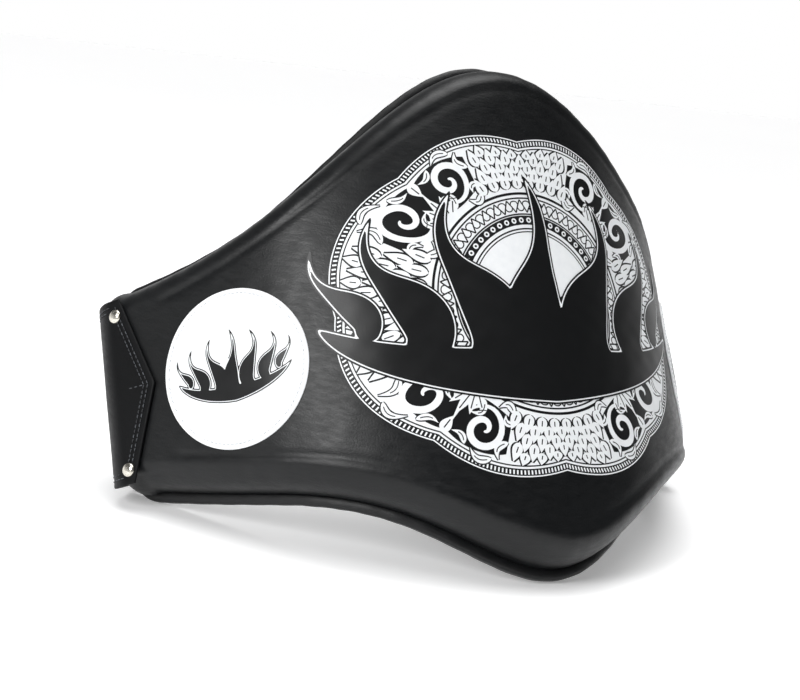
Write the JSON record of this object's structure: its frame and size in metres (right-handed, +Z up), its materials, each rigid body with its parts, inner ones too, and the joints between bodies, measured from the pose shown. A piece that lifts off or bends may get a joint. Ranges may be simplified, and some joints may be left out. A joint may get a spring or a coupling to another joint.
{
  "type": "belly and groin protector",
  "caption": "Padded leather shield bent round the trunk, with wings, sewn badges, riveted strap anchors and a hook-and-loop belt with an elastic panel.",
  "frame": {"origin": "centre of the bounding box at floor level, with the pad leaning back on its lower lobe and the lower corners of both wings", "axes": "+X across the pad from the wing with the loop-pile strap to the wing with the elastic strap, +Y from the front leather towards the wearer, +Z up"},
  "size_m": [0.4872, 0.305, 0.328],
  "materials": {
    "black_leather": "smooth top-grain cowhide, satin",
    "strap_leather": "smooth cowhide, edges painted black",
    "white_leather": "pigmented white leather, satin",
    "white_print": "transfer film pressed on leather",
    "soft_foam": "open-cell foam",
    "firm_foam": "closed-cell foam sheet",
    "lining_cloth": "coated nylon cloth",
    "elastic": "ribbed elastic webbing",
    "pile": "hook-and-loop tape",
    "nickel": "nickel-plated steel, polished"
  },
  "bodies": {
    "pad": {"front_cover": "black_leather", "soft_foam": "soft_foam", "core_foam": "firm_foam", "firm_foam": "firm_foam", "back_lining": "lining_cloth", "rim_binding": "black_leather", "printed_panel": "white_print", "left_badge": "white_leather", "left_anchor": "strap_leather", "left_lower_rivet": "nickel", "left_lower_burr": "nickel", "left_upper_rivet": "nickel", "left_upper_burr": "nickel", "right_badge": "white_leather", "right_anchor": "strap_leather", "right_lower_rivet": "nickel", "right_lower_burr": "nickel", "right_upper_rivet": "nickel", "right_upper_burr": "nickel"},
    "left_belt": {"left_strap": "strap_leather", "loop_panel": "pile"},
    "right_belt": {"right_strap": "strap_leather", "elastic_panel": "elastic"},
    "closure": {"closure_tab": "strap_leather", "hook_panel": "pile"}
  },
  "joints": [
    {"name": "right_belt_swing", "type": "hinge", "parent": "pad", "child": "right_belt", "pos_m": [0.18699, 0.12242, 0.05217], "axis": [0, -0.5015, -0.8652], "range_deg": [0, 120]},
    {"name": "left_belt_swing", "type": "hinge", "parent": "pad", "child": "left_belt", "pos_m": [-0.18701, 0.11697, 0.05533], "axis": [0, 0.5015, 0.8652], "range_deg": [0, 60]},
    {"name": "tab_peel", "type": "hinge", "parent": "right_belt", "child": "closure", "pos_m": [0.022, 0.12242, 0.05217], "axis": [0, -0.5015, -0.8652], "range_deg": [0, 100]}
  ],
  "couplings": [
    {"joint": "left_belt_swing", "follows": "right_belt_swing", "ratio": 0.4}
  ]
}
